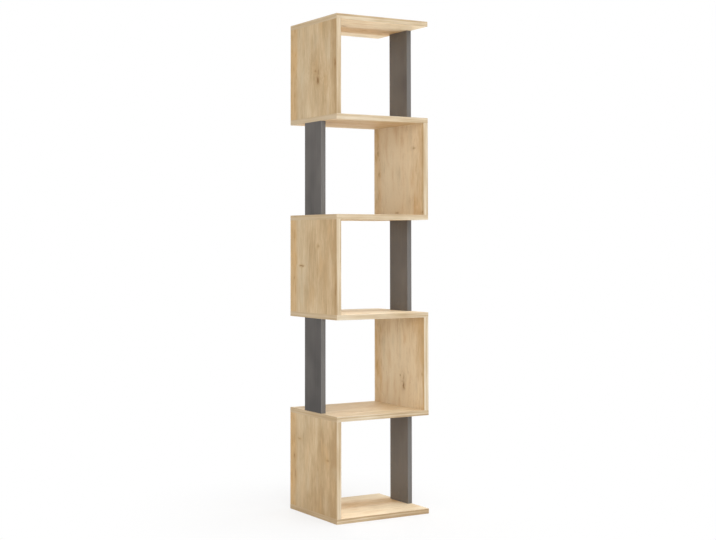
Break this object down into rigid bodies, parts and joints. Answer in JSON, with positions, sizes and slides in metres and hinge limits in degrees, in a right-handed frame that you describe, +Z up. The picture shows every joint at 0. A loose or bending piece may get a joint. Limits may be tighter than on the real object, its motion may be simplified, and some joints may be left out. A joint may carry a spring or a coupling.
{
  "type": "spine bookshelf",
  "caption": "Tall narrow open bookshelf: oak-finish boards on full-depth side panels and slim dark posts that change sides from tier to tier, held by hidden cams and dowels.",
  "frame": {"origin": "middle of the underside of the base board, on the floor", "axes": "+X along the boards to the right seen from the front, +Y from front to back, +Z up"},
  "size_m": [0.38, 0.34, 1.768],
  "materials": {
    "oak_decor": "matt light oak melamine on particle board, grain printed and lightly embossed",
    "oak_edging": "matt plastic edging strip in a paler oak print",
    "anthracite_decor": "matt anthracite melamine on particle board, finely textured",
    "anthracite_edging": "matt anthracite plastic edging strip",
    "zinc_plated_steel": "bright zinc-plated steel",
    "die_cast_zinc": "bare die-cast zinc",
    "beech": "raw fluted beech",
    "oak_cap": "thin self-adhesive cap in the panels' oak print",
    "anthracite_cap": "thin self-adhesive anthracite cap"
  },
  "bodies": {
    "root": {"base_board": "oak_decor", "base_board_edging": "oak_edging", "shelf_1": "oak_decor", "shelf_1_edging": "oak_edging", "shelf_2": "oak_decor", "shelf_2_edging": "oak_edging", "shelf_3": "oak_decor", "shelf_3_edging": "oak_edging", "shelf_4": "oak_decor", "shelf_4_edging": "oak_edging", "top_board": "oak_decor", "top_board_edging": "oak_edging", "panel_1": "oak_decor", "panel_1_edging": "oak_edging", "panel_2": "oak_decor", "panel_2_edging": "oak_edging", "panel_3": "oak_decor", "panel_3_edging": "oak_edging", "panel_4": "oak_decor", "panel_4_edging": "oak_edging", "panel_5": "oak_decor", "panel_5_edging": "oak_edging", "post_1": "anthracite_decor", "post_1_edging": "anthracite_edging", "post_2": "anthracite_decor", "post_2_edging": "anthracite_edging", "post_3": "anthracite_decor", "post_3_edging": "anthracite_edging", "post_4": "anthracite_decor", "post_4_edging": "anthracite_edging", "post_5": "anthracite_decor", "post_5_edging": "anthracite_edging", "cam_bolts": "zinc_plated_steel", "cam_locks": "die_cast_zinc", "dowels": "beech", "panel_cover_caps": "oak_cap", "post_cover_caps": "anthracite_cap"}
  },
  "joints": []
}
